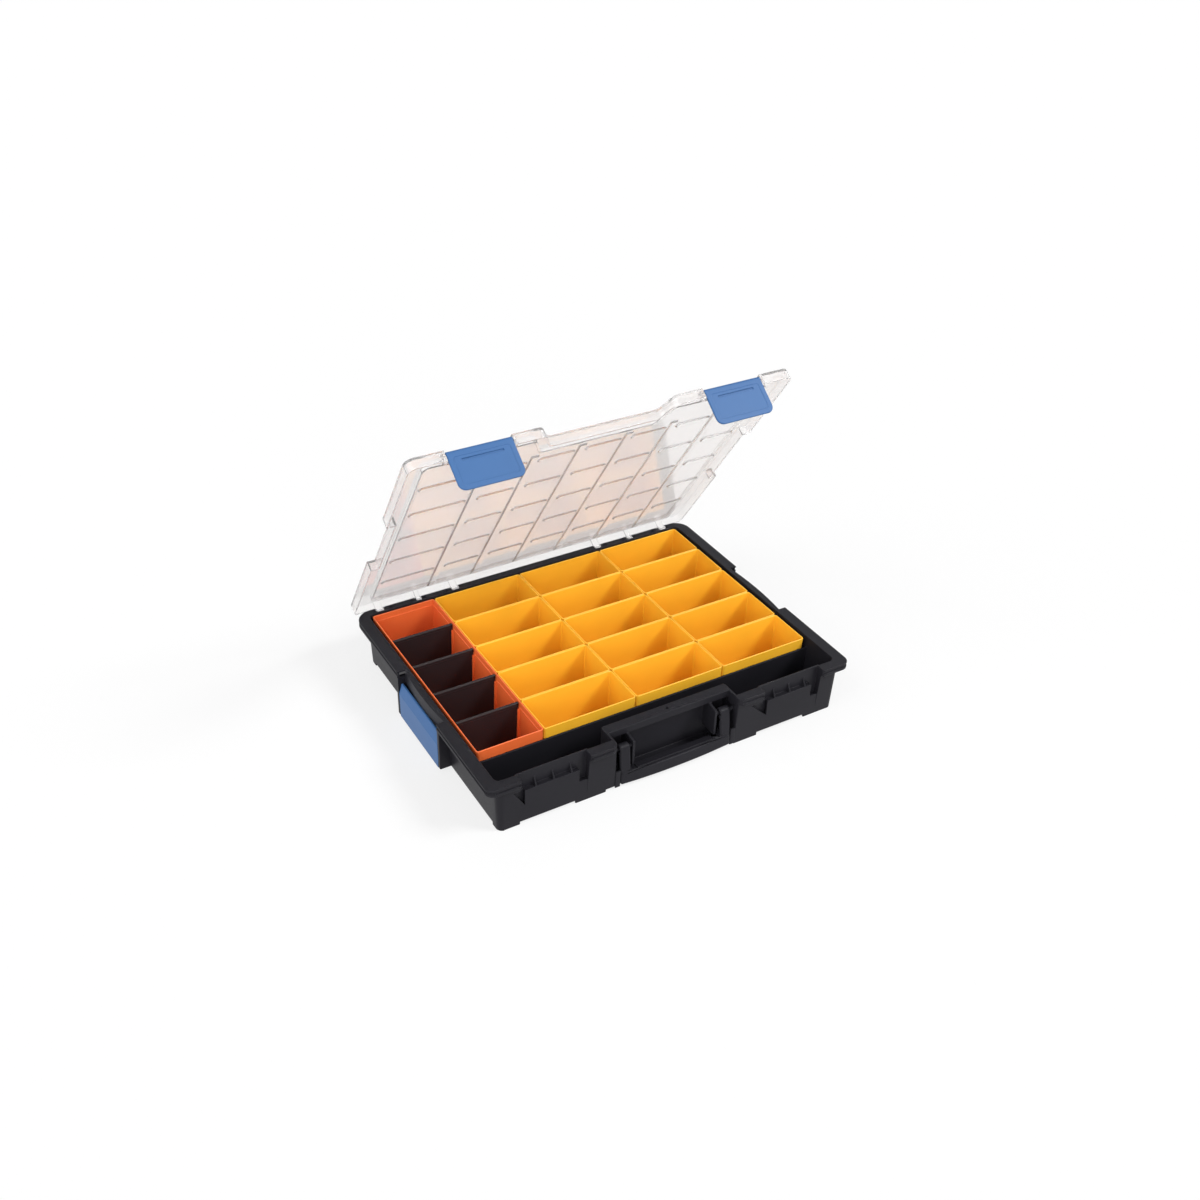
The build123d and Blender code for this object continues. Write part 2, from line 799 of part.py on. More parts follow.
# Side clips and their pins
def make_side_clip(side):
    """One side clip: barrel, upright plate and a top band that leans towards the case."""
    top = rim_top - side_bay_lip_height - clip_top_gap
    face = clip_face
    back = face - clip_plate_thickness
    front_end = side_bay_front + clip_play
    length = side_bay_length - 2 * clip_play
    with BuildPart() as side_clip:
        with BuildSketch(Plane.XZ.offset(-front_end)) as section:
            Polygon(
                (side * face, clip_bottom),
                (side * face, clip_fold_height),
                (side * (face - clip_lean), top),
                (side * (back - clip_lean), top),
                (side * back, clip_fold_height),
                (side * back, clip_bottom),
                align=None,
            )
        extrude(section.sketch, amount=-length)
        rod_y(clip_barrel_radius, (front_end, front_end + length), side * clip_pivot_x, clip_pivot_height)
        rod_y(
            clip_pin_radius + pin_play,
            (front_end - overlap, front_end + length + overlap),
            side * clip_pivot_x,
            clip_pivot_height,
            Mode.SUBTRACT,
        )
    return side_clip.part


def make_side_clip_pin(side):
    """Pin of one side clip, held in both cheeks."""
    with BuildPart() as clip_pin:
        rod_y(clip_pin_radius, clip_pin_span(pin_play), side * clip_pivot_x, clip_pivot_height)
    return clip_pin.part


# Carrying handle and its pins
def make_handle():
    """The folded-down handle: two arms and a grip that bows out to the front, leaning a little forward."""
    outer = handle_outer_half
    with BuildPart() as handle:
        for side in (-1, 1):
            span = (side * handle_inner_half, side * outer)
            block(span, (handle_front, handle_back), (handle_grip_top - overlap, handle_z))
            rod_x(handle_arm_depth / 2, span, handle_y, handle_z)
        with BuildSketch(Plane.XY.offset(handle_ground_gap)):
            with BuildLine():
                Line((outer, handle_front), (outer, handle_back))
                Line((outer, handle_back), (-outer, handle_back))
                Line((-outer, handle_back), (-outer, handle_front))
                ThreePointArc((-outer, handle_front), (0, handle_front - handle_bulge), (outer, handle_front))
            make_face()
        extrude(amount=handle_grip_height)
        block(
            (-handle_sleeve_half, handle_sleeve_half),
            (handle_front + handle_sleeve_step, handle_back - handle_sleeve_step),
            (handle_grip_top - overlap, handle_grip_top + handle_sleeve_step),
        )
        for side in (-1, 1):
            span = (side * (handle_inner_half - overlap), side * (outer + overlap))
            rod_x(handle_pin_radius + pin_play, span, handle_y, handle_z, Mode.SUBTRACT)
    return handle.part.rotate(handle_axis, -handle_lean)


def make_handle_pin(side):
    """Pin of one handle arm, from the rib beside the finger pocket to the bay's side wall."""
    with BuildPart() as handle_pin:
        rod_x(handle_pin_radius, handle_pin_span(side, pin_play), handle_y, handle_z)
    return handle_pin.part


# Bins
def make_tub(x_span, y_span, corner, wall):
    """A drafted open tub between two spans, with rounded upright corners."""
    width = x_span[1] - x_span[0]
    depth = y_span[1] - y_span[0]
    shrink = bin_height * tan(radians(bin_draft))
    inner_shrink = (bin_height - bin_floor) * tan(radians(bin_draft))
    centre = ((x_span[0] + x_span[1]) / 2, (y_span[0] + y_span[1]) / 2)
    with BuildPart() as tub:
        for height, less in ((bin_bottom, shrink), (bin_top, 0)):
            with BuildSketch(Plane.XY.offset(height)):
                with Locations(centre):
                    RectangleRounded(width - 2 * less, depth - 2 * less, corner)
        loft()
        for height, less in ((bin_bottom + bin_floor, inner_shrink), (bin_top, 0)):
            with BuildSketch(Plane.XY.offset(height)):
                with Locations(centre):
                    RectangleRounded(width - 2 * (less + wall), depth - 2 * (less + wall), corner - wall)
        loft(mode=Mode.SUBTRACT)
    return tub.part


def make_bin(column, row):
    """One small bin at its place in the grid."""
    left = bins_left + long_bin_pitch + column * column_pitch
    back = bins_back - row * row_pitch
    x_span = (left + bin_gap / 2, left + column_pitch - bin_gap / 2)
    y_span = (back - row_pitch + bin_gap / 2, back - bin_gap / 2)
    return make_tub(x_span, y_span, bin_corner, bin_wall)


def long_bin_half(height):
    """Half of the long bin's inner width at a height."""
    lean = (bin_top - height) * tan(radians(bin_draft))
    return long_bin_pitch / 2 - bin_gap / 2 - long_bin_wall - lean


def divider_y(index):
    """Middle plane of one divider, in line with the small bins' row edges."""
    return bins_back - (index + 1) * row_pitch


def make_long_bin():
    """The long bin, with a thinner rim above an inner ledge and paired guides for the dividers."""
    x_span = (bins_left + bin_gap / 2, bins_left + long_bin_pitch - bin_gap / 2)
    y_span = (bins_back - grid_depth + bin_gap / 2, bins_back - bin_gap / 2)
    centre_x = (x_span[0] + x_span[1]) / 2
    centre_y = (y_span[0] + y_span[1]) / 2
    with BuildPart() as long_bin:
        add(make_tub(x_span, y_span, bin_corner, long_bin_wall))
        thin = 2 * (long_bin_wall - ledge_step)
        with BuildSketch(Plane.XY.offset(bin_top - ledge_drop)):
            with Locations((centre_x, centre_y)):
                RectangleRounded(
                    x_span[1] - x_span[0] - thin, y_span[1] - y_span[0] - thin, bin_corner - thin / 2
                )
        extrude(amount=ledge_drop, mode=Mode.SUBTRACT)
        guide_top = bin_top - guide_drop
        low_half = long_bin_half(bin_bottom + bin_floor)
        top_half = long_bin_half(guide_top)
        slot = divider_thickness / 2 + divider_play
        for index in range(bin_rows - 1):
            for side in (-1, 1):
                for edge in (divider_y(index) + slot, divider_y(index) - slot - guide_width):
                    with BuildSketch(Plane.XZ.offset(-edge)) as guide:
                        Polygon(
                            (centre_x + side * (low_half + overlap), bin_bottom + bin_floor - overlap),
                            (centre_x + side * (low_half - guide_depth), bin_bottom + bin_floor - overlap),
                            (centre_x + side * (top_half - guide_depth), guide_top),
                            (centre_x + side * (top_half + overlap), guide_top),
                            align=None,
                        )
                    extrude(guide.sketch, amount=-guide_width)
    return long_bin.part


def make_divider(index):
    """One divider: a plate between its guides, with a thicker bead and thicker ends over them."""
    centre_x = bins_left + long_bin_pitch / 2
    bottom = bin_bottom + bin_floor + divider_play
    top = bin_top - divider_drop
    bead_bottom = top - bead_height
    low_half = long_bin_half(bottom) - divider_play
    high_half = long_bin_half(bead_bottom) - divider_play
    with BuildPart() as divider:
        with BuildSketch(Plane.XZ.offset(-divider_y(index) - divider_thickness / 2)) as plate:
            Polygon(
                (centre_x - low_half, bottom),
                (centre_x + low_half, bottom),
                (centre_x + high_half, bead_bottom),
                (centre_x + high_half, top),
                (centre_x - high_half, top),
                (centre_x - high_half, bead_bottom),
                align=None,
            )
        extrude(plate.sketch, amount=divider_thickness)
        with BuildSketch(Plane.YZ.offset(centre_x - high_half)) as bead:
            with Locations((divider_y(index), (top + bead_bottom) / 2)):
                RectangleRounded(bead_thickness, bead_height, bead_radius)
        extrude(bead.sketch, amount=2 * high_half)
        for side in (-1, 1):
            block(
                (centre_x + side * (high_half - divider_end_width), centre_x + side * high_half),
                (divider_y(index) - bead_thickness / 2, divider_y(index) + bead_thickness / 2),
                (top - divider_end_height, top - bead_radius),
            )
    return divider.part


save(make_base_shell(), "base_shell")
save(make_lid(), "lid")
save(make_handle(), "carry_handle")
for side, name in ((-1, "left"), (1, "right")):
    save(make_hinge_pin(side), f"hinge_pin_{name}")
    save(make_latch(side), f"latch_{name}")
    save(make_latch_pin(side), f"latch_pin_{name}")
    save(make_side_clip(side), f"side_clip_{name}")
    save(make_side_clip_pin(side), f"side_clip_pin_{name}")
    save(make_handle_pin(side), f"handle_pin_{name}")
save(make_long_bin(), "long_bin")
for index in range(bin_rows - 1):
    save(make_divider(index), f"divider_{index + 1}")
for row in range(bin_rows):
    for column in range(bin_columns):
        save(make_bin(column, row), f"bin_row{row + 1}_column{column + 1}")
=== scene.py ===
"""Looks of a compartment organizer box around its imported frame.

Sizes are millimetres in the sub-assemblies and become metres when a mesh is written. The box is drawn
about the middle of its rim, as it was designed, and moved to the frame's origin at the end.
"""

import json
import logging
import math
from dataclasses import dataclass, field
from enum import Enum

import bmesh
import bpy
import numpy as np
from mathutils import Matrix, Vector
from mathutils.bvhtree import BVHTree
from numpy.typing import NDArray


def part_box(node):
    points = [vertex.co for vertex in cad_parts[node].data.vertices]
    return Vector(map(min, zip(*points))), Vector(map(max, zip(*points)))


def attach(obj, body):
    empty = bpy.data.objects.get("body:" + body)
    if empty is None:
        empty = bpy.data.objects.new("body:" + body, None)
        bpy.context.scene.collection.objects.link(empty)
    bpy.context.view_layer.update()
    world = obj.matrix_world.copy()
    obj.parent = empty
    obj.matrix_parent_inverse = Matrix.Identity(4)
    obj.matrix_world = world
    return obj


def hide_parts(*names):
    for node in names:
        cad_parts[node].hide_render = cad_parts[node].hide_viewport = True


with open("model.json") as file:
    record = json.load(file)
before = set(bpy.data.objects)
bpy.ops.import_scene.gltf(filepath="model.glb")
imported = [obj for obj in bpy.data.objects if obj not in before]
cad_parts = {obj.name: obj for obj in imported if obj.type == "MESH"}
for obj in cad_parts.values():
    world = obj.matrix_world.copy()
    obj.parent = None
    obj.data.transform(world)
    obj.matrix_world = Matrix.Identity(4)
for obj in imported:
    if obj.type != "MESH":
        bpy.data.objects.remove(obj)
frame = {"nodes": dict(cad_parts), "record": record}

LOG = logging.getLogger("organizer")
Array = NDArray[np.float64]
Colour = tuple[float, float, float]
Span = tuple[float, float]

MILLIMETRE = 0.001
SHIFT_Y = -5.65865

# Copies of frame nodes: metres between equal points, and degrees
SAME_POINT = 2e-6
FLAT_WITHIN = 0.6
ROUNDED_OVER = 28.0
TURNS_AWAY = 35.0
SHARP_COPIED = 30.0
SHARP_DRAWN = 40.0

# Shares of a rounding's reach: the edge that it needs beside it, and how far it may leave the surface
EDGE_PER_REACH = 2.3
STRAY_OUTSIDE = 0.32
STRAY_INSIDE = 0.6


class Side(Enum):
    """Left is -X, as seen from the front."""

    LEFT = -1
    RIGHT = 1

    @property
    def word(self) -> str:
        """Lower-case name, as the frame's nodes have it."""
        return self.name.lower()


# Shapes


def turn_x(points: Array, degrees: float, y: float, z: float) -> Array:
    """Turns points about a line parallel to X.

    Args:
        points: positions, with the coordinates along the last axis.
        degrees: angle by the right-hand rule about +X.
        y: the line's place on Y.
        z: the line's place on Z.

    Returns:
        The turned positions: y' = y0 + dy cos - dz sin, z' = z0 + dy sin + dz cos.
    """
    angle = math.radians(degrees)
    away_y = points[..., 1] - y
    away_z = points[..., 2] - z
    turned = points.copy()
    turned[..., 1] = y + away_y * math.cos(angle) - away_z * math.sin(angle)
    turned[..., 2] = z + away_y * math.sin(angle) + away_z * math.cos(angle)
    return turned


def rounded_rectangle(half_x: float, half_y: float, radius: float, steps: int = 6) -> Array:
    """Closed outline of a rounded rectangle about the origin.

    Each corner is centre + radius (cos a, sin a) as a runs through its quarter turn.

    Args:
        half_x: half the width.
        half_y: half the depth.
        radius: corner radius.
        steps: pieces of each quarter turn.

    Returns:
        An array of 4 (steps + 1) points, two coordinates each.
    """
    quarter = np.linspace(0.0, np.pi / 2, steps + 1)
    starts = np.arange(4)[:, None] * np.pi / 2
    angles = starts + quarter[None, :]
    signs = np.array([(1, 1), (-1, 1), (-1, -1), (1, -1)], float)
    centres = signs * (half_x - radius, half_y - radius)
    offsets = radius * np.stack([np.cos(angles), np.sin(angles)], axis=-1)
    return (centres[:, None, :] + offsets).reshape(-1, 2)


def arc(centre: Span, radius: float, start: float, end: float, steps: int) -> Array:
    """Points centre + radius (cos a, sin a) of a circle's arc.

    Args:
        centre: the circle's middle.
        radius: its radius.
        start: first value of a, in degrees.
        end: last value of a, in degrees.
        steps: pieces of the arc.

    Returns:
        An array of steps + 1 points, two coordinates each.
    """
    angles = np.radians(np.linspace(start, end, steps + 1))
    return np.array(centre) + radius * np.stack([np.cos(angles), np.sin(angles)], axis=-1)


def raised(outline: Array, height: float) -> Array:
    """A flat outline as a loop of points at one height."""
    return np.column_stack([outline, np.full(len(outline), height)])


@dataclass
class Shell:
    """Closed surfaces of one piece, each a stack of loops with as many points."""

    points: list[Array] = field(default_factory=list)
    faces: list[list[int]] = field(default_factory=list)
    count: int = 0

    def add_stack(self, loops: Array) -> None:
        """Joins neighbouring loops with quads and closes the first and the last with a face.

        Args:
            loops: positions indexed by loop, by point around the loop and by coordinate.
        """
        rows, around, _ = loops.shape
        first = np.arange(rows - 1)[:, None] * around
        here = np.arange(around)[None, :]
        beside = (here + 1) % around
        above = first + around
        quads = np.stack([first + here, first + beside, above + beside, above + here], axis=-1)
        self.faces += (quads.reshape(-1, 4) + self.count).tolist()
        self.faces.append((np.arange(around)[::-1] + self.count).tolist())
        self.faces.append((np.arange(around) + self.count + (rows - 1) * around).tolist())
        self.points.append(loops.reshape(-1, 3))
        self.count += rows * around

    def piece(self, name: str, material: bpy.types.Material) -> bpy.types.Object:
        """Writes the gathered surfaces into one mesh object, with its faces pointing outwards.

        Args:
            name: the object's name.
            material: its finish.

        Returns:
            The new object, in metres, in the frame's own place.
        """
        points = np.concatenate(self.points)
        points[:, 1] += SHIFT_Y
        mesh = bpy.data.meshes.new(name)
        mesh.from_pydata((points * MILLIMETRE).tolist(), [], self.faces)
        return finished(mesh, name, material, SHARP_DRAWN)


def finished(mesh: bpy.types.Mesh, name: str, material: bpy.types.Material, sharp: float) -> bpy.types.Object:
    """Points a closed mesh outwards, sets its shading and links it as an object.

    Args:
        mesh: the closed mesh.
        name: the object's name.
        material: its finish.
        sharp: angle in degrees over which an edge stays sharp.

    Returns:
        The linked object.
    """
    work = bmesh.new()
    work.from_mesh(mesh)
    bmesh.ops.recalc_face_normals(work, faces=work.faces)
    work.to_mesh(mesh)
    work.free()
    mesh.polygons.foreach_set("use_smooth", np.ones(len(mesh.polygons), bool))
    mesh.set_sharp_from_angle(angle=math.radians(sharp))
    mesh.materials.clear()
    mesh.materials.append(material)
    piece = bpy.data.objects.new(name, mesh)
    bpy.context.scene.collection.objects.link(piece)
    return piece


def room_beside(edge: bmesh.types.BMEdge, sharp: set[bmesh.types.BMEdge]) -> float:
    """Length of the shortest sharp edge that turns away at either end of an edge.

    Args:
        edge: the edge.
        sharp: all sharp edges.

    Returns:
        The length in metres, or infinity where no sharp edge turns away.
    """
    along = (edge.verts[1].co - edge.verts[0].co).normalized()
    shortest = math.inf
    for vertex in edge.verts:
        for other in vertex.link_edges:
            if other is edge or other not in sharp:
                continue
            direction = (other.verts[1].co - other.verts[0].co).normalized()
            if abs(along.dot(direction)) < math.cos(math.radians(TURNS_AWAY)):
                shortest = min(shortest, other.calc_length())
    return shortest


def weigh_edges(mesh: bpy.types.Mesh, width: float, low: float, share: float) -> None:
    """Weighs the sharp edges of a mesh for rounding, with less where a short edge turns away beside them.

    Args:
        mesh: the merged mesh.
        width: reach of the full rounding, in millimetres.
        low: height in millimetres up to which the full rounding holds.
        share: share of the rounding above that height.
    """
    work = bmesh.new()
    work.from_mesh(mesh)
    layer = work.edges.layers.float.new("bevel_weight_edge")
    least = math.radians(ROUNDED_OVER)
    joined = [edge for edge in work.edges if len(edge.link_faces) == 2]
    sharp = {edge for edge in joined if edge.calc_face_angle(0.0) > least}
    for edge in sharp:
        height = max(vertex.co.z for vertex in edge.verts) / MILLIMETRE
        wanted = 1.0 if height <= low else share
        room = room_beside(edge, sharp) / (EDGE_PER_REACH * width * MILLIMETRE)
        edge[layer] = min(wanted, room)
    work.to_mesh(mesh)
    work.free()


def soften(piece: bpy.types.Object, width: float, segments: int) -> None:
    """Rounds the weighed edges of a piece and keeps the walls beside them flat.

    Args:
        piece: the piece.
        width: reach of the full rounding, in millimetres.
        segments: pieces across the rounding.
    """
    bevel = piece.modifiers.new("edges", "BEVEL")
    bevel.width = width * MILLIMETRE
    bevel.segments = segments
    bevel.limit_method = "WEIGHT"
    bevel.use_clamp_overlap = False
    bevel.miter_outer = "MITER_SHARP"
    bevel.face_strength_mode = "FSTR_ALL"
    even_shading(piece).use_face_influence = True


def settle(piece: bpy.types.Object, node: str, width: float) -> None:
    """Bakes a piece's rounding, and puts each point that strays from the frame node's surface back on it.

    No point leaves the node's box.

    Args:
        piece: the piece with its live rounding.
        node: the frame node that it was copied from.
        width: reach of the full rounding, in millimetres.
    """
    depsgraph = bpy.context.evaluated_depsgraph_get()
    baked = bpy.data.meshes.new_from_object(piece.evaluated_get(depsgraph))
    piece.modifiers.clear()
    piece.data = baked
    source = frame["nodes"][node].data
    points = [vertex.co for vertex in source.vertices]
    surface = BVHTree.FromPolygons(points, [tuple(face.vertices) for face in source.polygons])
    for vertex in baked.vertices:
        nearest, normal, _, distance = surface.find_nearest(vertex.co)
        outside = (vertex.co - nearest).dot(normal) > 0.0
        if distance > (STRAY_OUTSIDE if outside else STRAY_INSIDE) * width * MILLIMETRE:
            vertex.co = nearest
    places = np.empty(3 * len(baked.vertices))
    baked.vertices.foreach_get("co", places)
    low, high = (np.array(corner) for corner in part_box(node))
    baked.vertices.foreach_set("co", np.clip(places.reshape(-1, 3), low, high).ravel())
    baked.update()


def even_shading(piece: bpy.types.Object) -> bpy.types.WeightedNormalModifier:
    """Keeps flat walls flat beside rounded corners, and returns the modifier."""
    shading = piece.modifiers.new("shading", "WEIGHTED_NORMAL")
    shading.keep_sharp = True
    return shading


def merged_copy(node: str) -> bpy.types.Mesh:
    """A copy of a frame node's mesh with its loose triangles merged and its flat faces cut anew.

    Args:
        node: the frame node.

    Returns:
        The new mesh.
    """
    mesh = frame["nodes"][node].data.copy()
    work = bmesh.new()
    work.from_mesh(mesh)
    bmesh.ops.remove_doubles(work, verts=work.verts, dist=SAME_POINT)
    bmesh.ops.dissolve_limit(
        work,
        angle_limit=math.radians(FLAT_WITHIN),
        verts=work.verts,
        edges=work.edges,
        use_dissolve_boundaries=False,
    )
    wide = [face for face in work.faces if len(face.verts) > 4]
    bmesh.ops.triangulate(work, faces=wide)
    work.to_mesh(mesh)
    work.free()
    return mesh


@dataclass(frozen=True)
class Rounding:
    """How far a frame node's edges are rounded: the full width up to a height, and a share of it above.

    Both are in millimetres.
    """

    width: float
    low: float = math.inf
    share: float = 1.0
    segments: int = 3

    def copy_of(self, node: str, name: str, material: bpy.types.Material) -> bpy.types.Object:
        """A merged copy of a frame node with rounded edges, which stands for the node.

        Args:
            node: the frame node.
            name: the new piece's name.
            material: its finish.

        Returns:
            The new piece, riding on the node's body.
        """
        mesh = merged_copy(node)
        weigh_edges(mesh, self.width, self.low, self.share)
        piece = finished(mesh, name, material, SHARP_COPIED)
        soften(piece, self.width, self.segments)
        settle(piece, node, self.width)
        place(piece, node)
        return piece


def body_of(node: str) -> str:
    """Name of the body that holds a frame node."""
    for body, nodes in frame["record"]["behaviour"]["bodies"].items():
        if node in nodes:
            return body
    raise ValueError(f"no body holds {node}")


def place(piece: bpy.types.Object, node: str) -> None:
    """Lets a piece stand for a frame node: it rides on the node's body, and the node is hidden."""
    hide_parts(node)
    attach(piece, body_of(node))
    LOG.info("%s stands for %s", piece.name, node)


# Finishes


class Paint:
    """A new material with its shader, and the nodes that the finishes share."""

    def __init__(self, name: str, levels: dict[str, float | tuple[float, ...]]) -> None:
        """Makes the material.

        Args:
            name: the material's name.
            levels: plain values of the shader's inputs.
        """
        self.material = bpy.data.materials.new(name)
        self.material.use_nodes = True
        self.nodes = self.material.node_tree.nodes
        self.links = self.material.node_tree.links
        self.shader = self.nodes["Principled BSDF"]
        self.coordinates = self.nodes.new("ShaderNodeTexCoord")
        for label, value in levels.items():
            self.shader.inputs[label].default_value = value

    def noise(self, scale: float, detail: float) -> bpy.types.NodeSocket:
        """Noise on the object's own coordinates, finer with a larger scale."""
        texture = self.nodes.new("ShaderNodeTexNoise")
        texture.inputs["Scale"].default_value = scale
        texture.inputs["Detail"].default_value = detail
        self.links.new(self.coordinates.outputs["Object"], texture.inputs["Vector"])
        return texture.outputs["Fac"]

    def stretched(self, value: bpy.types.NodeSocket, span: Span, onto: Span) -> bpy.types.NodeSocket:
        """Stretches a span of a value onto another span, and clamps what is beyond it."""
        node = self.nodes.new("ShaderNodeMapRange")
        for label, level in zip(("From Min", "From Max", "To Min", "To Max"), (*span, *onto)):
            node.inputs[label].default_value = level
        self.links.new(value, node.inputs["Value"])
        return node.outputs["Result"]

    def blended(self, factor: bpy.types.NodeSocket, low: Colour, high: Colour) -> bpy.types.NodeSocket:
        """A colour between two others."""
        mix = self.nodes.new("ShaderNodeMix")
        mix.data_type = "RGBA"
        mix.inputs["A"].default_value = (*low, 1.0)
        mix.inputs["B"].default_value = (*high, 1.0)
        self.links.new(factor, mix.inputs["Factor"])
        return mix.outputs["Result"]

    def into(self, label: str, socket: bpy.types.NodeSocket) -> None:
        """Links a value to one of the shader's inputs."""
        self.links.new(socket, self.shader.inputs[label])

    def roughen(self, height: bpy.types.NodeSocket, strength: float, distance: float) -> None:
        """Bumps the surface by a height, with its distance in metres."""
        bump = self.nodes.new("ShaderNodeBump")
        bump.inputs["Strength"].default_value = strength
        bump.inputs["Distance"].default_value = distance
        self.links.new(height, bump.inputs["Height"])
        self.into("Normal", bump.outputs["Normal"])


@dataclass(frozen=True)
class MouldedPlastic:
    """Opaque moulded plastic with a fine grain and slight unevenness of tone and gloss."""

    name: str
    colour: Colour
    roughness: float = 0.42
    roughness_play: float = 0.05
    tone: float = 22.0
    tone_span: Span = (0.3, 0.7)
    unevenness: float = 0.06
    grain: float = 1400.0
    depth: float = 0.12
    distance: float = 0.0003
    specular: float = 0.5

    def material(self) -> bpy.types.Material:
        """Builds the node material: tone noise into colour and gloss, grain noise into the bump."""
        paint = Paint(self.name, {"Specular IOR Level": self.specular})
        tone = paint.noise(self.tone, 3.0)
        low, high = (
            tuple(min(1.0, (1.0 + sign * self.unevenness) * part) for part in self.colour) for sign in (-1, 1)
        )
        spread = paint.stretched(tone, self.tone_span, (0.0, 1.0))
        paint.into("Base Color", paint.blended(spread, low, high))
        gloss = (self.roughness - self.roughness_play, self.roughness + self.roughness_play)
        paint.into("Roughness", paint.stretched(tone, (0.0, 1.0), gloss))
        paint.roughen(paint.noise(self.grain, 2.0), self.depth, self.distance)
        return paint.material


@dataclass(frozen=True)
class ClearPlastic:
    """Clear moulded plastic with a trace of milkiness."""

    name: str
    colour: Colour
    clearness: float = 0.86
    roughness: float = 0.09
    refraction: float = 1.46
    ripple: float = 90.0
    depth: float = 0.03
    distance: float = 0.0005

    def material(self) -> bpy.types.Material:
        """Builds the node material: a see-through shader with a soft, slow ripple in its surface."""
        levels = {
            "Base Color": (*self.colour, 1.0),
            "Roughness": self.roughness,
            "IOR": self.refraction,
            "Transmission Weight": self.clearness,
        }
        paint = Paint(self.name, levels)
        paint.roughen(paint.noise(self.ripple, 1.0), self.depth, self.distance)
        return paint.material


@dataclass(frozen=True)
class DrawnSteel:
    """Bare steel rod, drawn along X or Y."""

    name: str
    colour: Colour = (0.55, 0.55, 0.57)
    streaks: float = 600.0
    gloss: Span = (0.24, 0.42)

    def material(self) -> bpy.types.Material:
        """Builds the node material: grey metal with a fine unevenness in its gloss."""
        paint = Paint(self.name, {"Base Color": (*self.colour, 1.0), "Metallic": 1.0})
        paint.into("Roughness", paint.stretched(paint.noise(self.streaks, 2.0), (0.0, 1.0), self.gloss))
        return paint.material


@dataclass(frozen=True)
class Finishes:
    """The finishes of the whole box."""

    case: bpy.types.Material
    yellow: bpy.types.Material
    orange: bpy.types.Material
    divider: bpy.types.Material
    blue: bpy.types.Material
    clear: bpy.types.Material
    steel: bpy.types.Material

    @classmethod
    def build(cls) -> "Finishes":
        """Makes every finish once."""
        case = MouldedPlastic("case_black", (0.0135, 0.013, 0.0163), roughness=0.4, depth=0.2, specular=0.1)
        bins = {"roughness": 0.4, "unevenness": 0.03}
        return cls(
            case=case.material(),
            yellow=MouldedPlastic("bin_yellow", (0.86, 0.445, 0.026), **bins).material(),
            orange=MouldedPlastic("bin_orange", (0.8, 0.145, 0.035), **bins).material(),
            divider=MouldedPlastic("divider_dark", (0.019, 0.0125, 0.0135), specular=0.25).material(),
            blue=MouldedPlastic("clip_blue", (0.044, 0.122, 0.292), unevenness=0.03, specular=0.2).material(),
            clear=ClearPlastic("lid_clear", (0.97, 0.955, 0.95)).material(),
            steel=DrawnSteel("pin_steel").material(),
        )


# Sub-assemblies


@dataclass(frozen=True)
class Layout:
    """Sizes that several sub-assemblies share."""

    column_pitch: float = 111.6
    row_pitch: float = 54.0
    long_pitch: float = 77.3
    columns: int = 3
    rows: int = 5
    gap: float = 0.4
    bins_back: float = 159.7
    bin_bottom: float = 5.8
    bin_top: float = 61.4
    draft: float = 1.2
    hinge_y: float = 167.8
    hinge_z: float = 59.2
    open_angle: float = 56.1

    @property
    def bins_left(self) -> float:
        """Left edge of the bins' grid."""
        return -(self.long_pitch + self.columns * self.column_pitch) / 2

    def lean(self, height: float) -> float:
        """How far a drafted wall has moved inwards at a height."""
        return (self.bin_top - height) * math.tan(math.radians(self.draft))

    def opened(self, points: Array) -> Array:
        """Turns points of the closed lid to where the lid stands open."""
        return turn_x(points, -self.open_angle, self.hinge_y, self.hinge_z)


@dataclass(frozen=True)
class Tub:
    """A drafted open tub with a rounded rim and a filleted floor, carried round its outline."""

    layout: Layout
    x_span: Span
    y_span: Span
    wall: float = 1.5
    floor: float = 1.6
    corner: float = 3.2
    ledge_drop: float = 0.0
    ledge_step: float = 0.0
    ledge_slope: float = 0.35
    foot_radius: float = 1.2
    fillet: float = 2.6

    def profile(self) -> Array:
        """Half section from the outside's foot over the rim to the inside's floor.

        Returns:
            Rows of inset from the rim's outline, height and corner radius.
        """
        lay = self.layout
        top, bottom = lay.bin_top, lay.bin_bottom
        inside = bottom + self.floor
        low, low_inside = lay.lean(bottom), lay.lean(inside) + self.wall
        thin = self.wall - self.ledge_step
        half = thin / 2
        foot = arc((low + self.foot_radius, bottom + self.foot_radius), self.foot_radius, 270, 180, 3)
        rim = arc((half, top - half), half, 180, 0, 6)
        bend = arc((low_inside + self.fillet, inside + self.fillet), self.fillet, 180, 270, 5)
        parts = [foot, rim]
        radii = [np.full(len(foot), self.corner), np.linspace(self.corner, self.corner - thin, len(rim))]
        if self.ledge_step:
            ledge = top - self.ledge_drop
            parts.append(np.array([(thin, ledge), (self.wall, ledge - self.ledge_slope)]))
            radii.append(np.array([self.corner - thin, self.corner - self.wall]))
        parts.append(bend)
        radii.append(np.full(len(bend), self.corner - self.wall))
        return np.column_stack([np.concatenate(parts), np.concatenate(radii)])

    def add_to(self, shell: Shell) -> None:
        """Carries the profile round the rounded rectangle, one loop for each of its points."""
        centre = np.array([sum(self.x_span) / 2, sum(self.y_span) / 2])
        half_x = (self.x_span[1] - self.x_span[0]) / 2
        half_y = (self.y_span[1] - self.y_span[0]) / 2
        loops = []
        for inset, height, radius in self.profile():
            loops.append(raised(rounded_rectangle(half_x - inset, half_y - inset, radius) + centre, height))
        shell.add_stack(np.array(loops))


